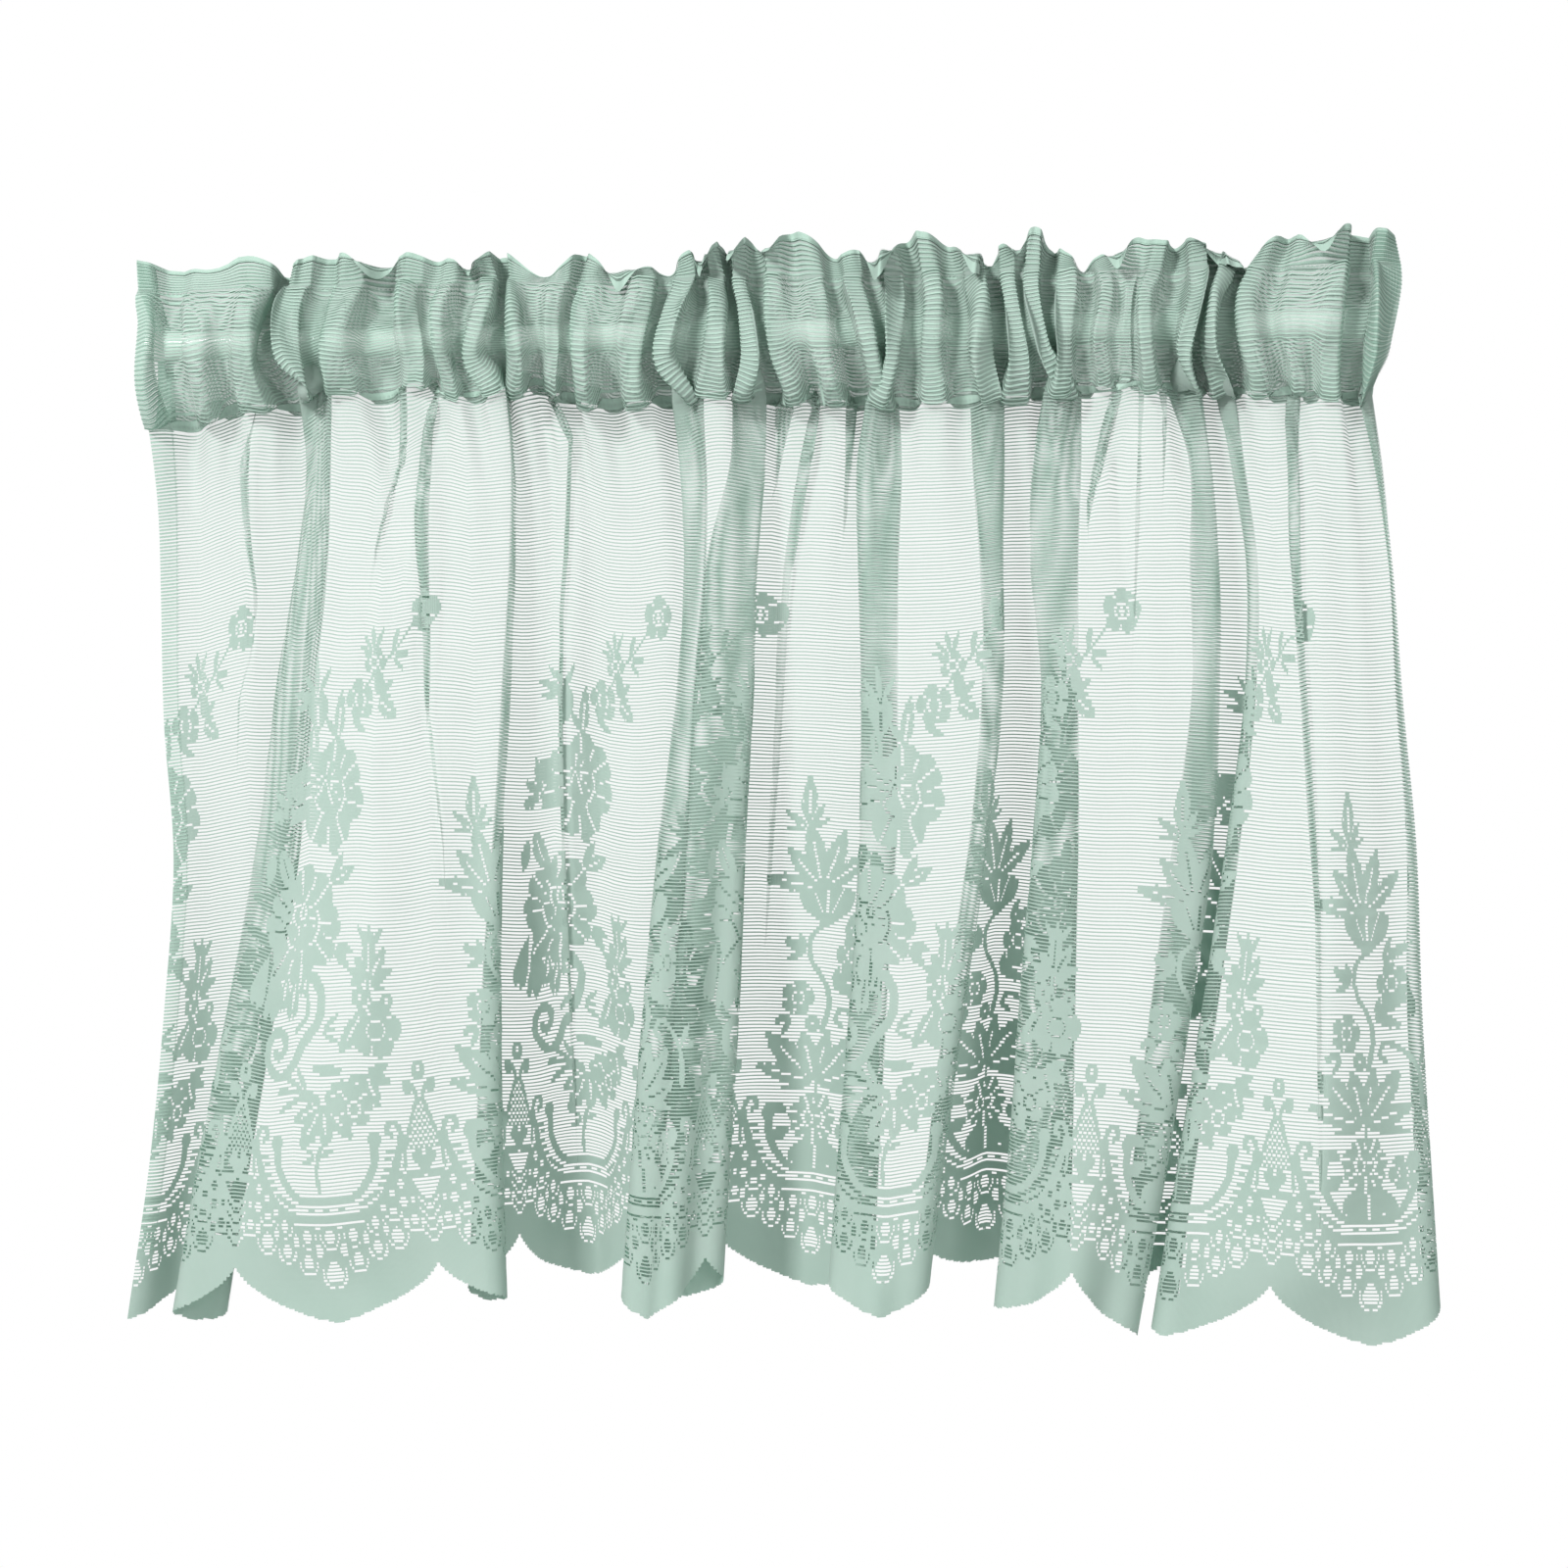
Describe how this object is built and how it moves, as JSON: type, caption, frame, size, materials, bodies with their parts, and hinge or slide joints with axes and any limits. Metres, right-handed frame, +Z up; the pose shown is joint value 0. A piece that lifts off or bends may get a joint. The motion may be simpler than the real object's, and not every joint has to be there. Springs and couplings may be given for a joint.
{
  "type": "lace valance gathered on a curtain rod",
  "caption": "Sheer green lace valance gathered by its ruffled rod pocket on a plain white rod, in uneven folds with a scalloped hem.",
  "frame": {"origin": "middle of the curtain rod's axis", "axes": "+X along the rod, to the right seen from the room; +Y from the room towards the window, so the room side of the cloth faces -Y; +Z up"},
  "size_m": [0.746, 0.1108, 0.6201],
  "materials": {
    "lace": "sheer warp-knitted lace, sage green, matt",
    "rod": "white paint, satin"
  },
  "bodies": {
    "root": {"lace_valance": "lace", "curtain_rod": "rod"}
  },
  "joints": []
}
